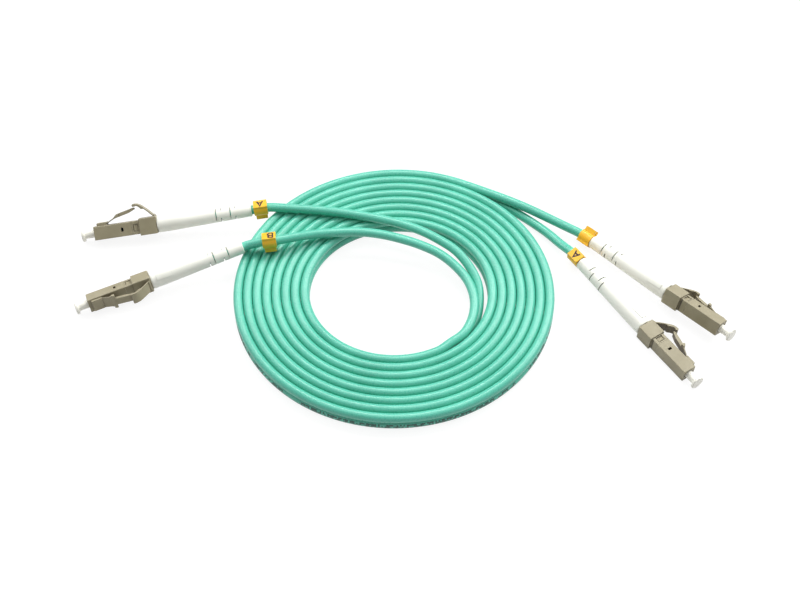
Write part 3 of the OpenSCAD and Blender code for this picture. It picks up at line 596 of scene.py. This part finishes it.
def make_materials():
    """Materials by the end of the names of the nodes that they belong to."""
    lever = beige_plastic("beige_lever_plastic", LEVER_SHADE_REACH)
    materials = {
        "jacket": jacket_material("jacket", False),
        "printed_jacket": jacket_material("printed_jacket", True),
        "latch": lever,
        "trigger": lever,
        "dust_cap": moulded_plastic(
            "white_plastic", (0.97, 0.955, 0.86), (0.94, 0.925, 0.83), (0.98, 0.975, 0.92), rough=0.36
        ),
        # Boot: shade painted into its slits and hollows
        "boot": moulded_plastic(
            "boot_plastic", (0.94, 0.94, 0.855), (0.90, 0.90, 0.81), (0.97, 0.97, 0.92), rough=0.5,
            cavity_shade=(0.6, 0.3), shade_colour=(0.3, 0.3, 0.26)
        ),
        "marker_clip": moulded_plastic(
            "clip_plastic", (1.0, 0.56, 0.025), (0.96, 0.49, 0.012), (1.0, 0.74, 0.2), rough=0.35
        ),
        "ink": moulded_plastic(
            "clip_ink", (0.03, 0.011, 0.004), (0.022, 0.008, 0.003), (0.045, 0.018, 0.008), rough=0.5
        ),
        # Ceramic ferrule: shade painted into its hollows and corners
        "ferrule": moulded_plastic(
            "ceramic", (0.88, 0.87, 0.83), (0.82, 0.81, 0.76), (0.95, 0.94, 0.92), rough=0.15, grain=4000,
            cavity_shade=(2, 0.1)
        ),
        "buffered_fibre": moulded_plastic(
            "fibre_buffer", (0.12, 0.55, 0.62), (0.09, 0.47, 0.55), (0.2, 0.65, 0.7), rough=0.3
        ),
        "ferrule_flange": metal("nickel", (0.70, 0.69, 0.67), (0.55, 0.54, 0.52)),
        "crimp_sleeve": metal("nickel_sleeve", (0.68, 0.67, 0.65), (0.52, 0.51, 0.49), rough=0.34),
        "spring": metal("spring_steel", (0.55, 0.55, 0.56), (0.40, 0.40, 0.41), rough=0.25, scale=2200),
        "backbone": metal("brass", (0.78, 0.56, 0.25), (0.60, 0.40, 0.16), rough=0.3),
    }
    for side in PLUGS:
        housing = beige_plastic(side + "_plastic", HOUSING_SHADE_REACH, side)
        materials[side + "_plug_housing"] = materials[side + "_rear_housing"] = housing
    return materials


def dress_nodes(materials):
    for name in frame["nodes"]:
        piece = next((key for key in materials if ("_" + name).endswith("_" + key)), None)
        if piece:
            mesh = bpy.data.objects[name].data
            mesh.materials.clear()
            mesh.materials.append(materials[piece])


# ---------------------------------------------------------------- springs


def squashing_copy(node):
    """Copy of a solid, without the marks that tie the solid itself to its node."""
    solid = bpy.data.objects[node]
    copy = solid.copy()
    copy.data = solid.data.copy()
    copy.name = node + "_squashing"
    for key in list(copy.keys()):
        del copy[key]
    bpy.context.scene.collection.objects.link(copy)
    return copy


def add_springs():
    """The springs, which shorten against their seats as the ferrules go back."""
    for joint in frame["record"]["behaviour"]["joints"]:
        for row in joint.get("deforming_nodes", []):
            if row["mode"] != "scale_axis":
                continue
            spring = squashing_copy(row["node"])
            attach(spring, "cord")
            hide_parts(row["node"])
            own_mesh(spring)


# ---------------------------------------------------------------- stage and light

# Lengths are in metres here
FLOOR_HALF = 6.0
FLOOR_GREY = (0.75, 0.75, 0.75)
FLOOR_GLOW = 1.14
FLOOR_GLOW_SHARE = 0.78

# Strength of the white surroundings: as fill light, and as seen in reflections
WORLD_FILL = 0.2
WORLD_SEEN = 1.0
WORLD_COLOUR = (0.97, 0.98, 1.0)

# Place, size and power of each lamp. They all point at the origin.
LAMPS = {
    "back_right": ((0.6, 0.4, 0.6), (0.7, 0.5), 6.2),
    "back_left": ((-0.6, 0.4, 0.6), (0.7, 0.5), 3.3),
    "back": ((0, 0.5, 0.8), (0.42, 0.28), 3.4),
    "top": ((0, 0, 0.95), (0.7, 0.5), 2.0),
}


def seen_or_mirrored(shading):
    """1 for a surface that is looked at, straight on or in a reflection, 0 for the light it gives."""
    rays = shading.add("LightPath", {}).outputs
    seen = shading.math("ADD", rays["Is Camera Ray"], rays["Is Transmission Ray"])
    return shading.math("MINIMUM", shading.math("ADD", seen, rays["Is Glossy Ray"]), 1.0)


def floor_material():
    """Grey floor that takes the shadows, mixed with an even white glow where it is looked at."""
    material, shading, surface = new_material("floor")
    shading.set(surface["Base Color"], FLOOR_GREY)
    shading.set(surface["Roughness"], 0.9)
    shading.set(surface["Specular IOR Level"], 0.1)
    grey = shading.nodes["Principled BSDF"].outputs[0]
    glow = shading.add("Emission", {"Color": (1, 1, 1), "Strength": FLOOR_GLOW}).outputs[0]
    share = shading.math("MULTIPLY", seen_or_mirrored(shading), FLOOR_GLOW_SHARE)
    blend = shading.add("MixShader", {0: share, 1: grey, 2: glow}).outputs[0]
    shading.set(shading.nodes["Material Output"].inputs["Surface"], blend)
    return material


def add_floor():
    corners = [(x * FLOOR_HALF, y * FLOOR_HALF, 0) for x, y in ((-1, -1), (1, -1), (1, 1), (-1, 1))]
    mesh = bpy.data.meshes.new("floor")
    mesh.from_pydata(corners, [], [(0, 1, 2, 3)])
    mesh.materials.append(floor_material())
    link_object("floor", mesh)


def add_world():
    world = bpy.data.worlds.new("studio")
    world.use_nodes = True
    shading = Shading(world.node_tree)
    background = shading.nodes["Background"].inputs
    shading.set(background["Color"], WORLD_COLOUR)
    strength = shading.ramp(seen_or_mirrored(shading), 0, 1, WORLD_FILL, WORLD_SEEN)
    shading.set(background["Strength"], strength)
    bpy.context.scene.world = world


def add_lamps():
    for name, (place, size, power) in LAMPS.items():
        data = bpy.data.lights.new(name, "AREA")
        data.shape = "RECTANGLE"
        data.size, data.size_y = size
        data.energy = power
        lamp = link_object(name, data)
        lamp.location = place
        aim = Vector((0, 0, 0)) - Vector(place)
        lamp.rotation_euler = aim.to_track_quat("-Z", "Y").to_euler()


def main():
    bpy.context.scene.view_settings.view_transform = "Standard"
    add_camera()
    materials = make_materials()
    add_cords(materials["jacket"], materials["printed_jacket"])
    for side in CLIPS:
        add_letter(side, materials["ink"])
    dress_nodes(materials)
    add_springs()
    add_floor()
    add_world()
    add_lamps()


main()
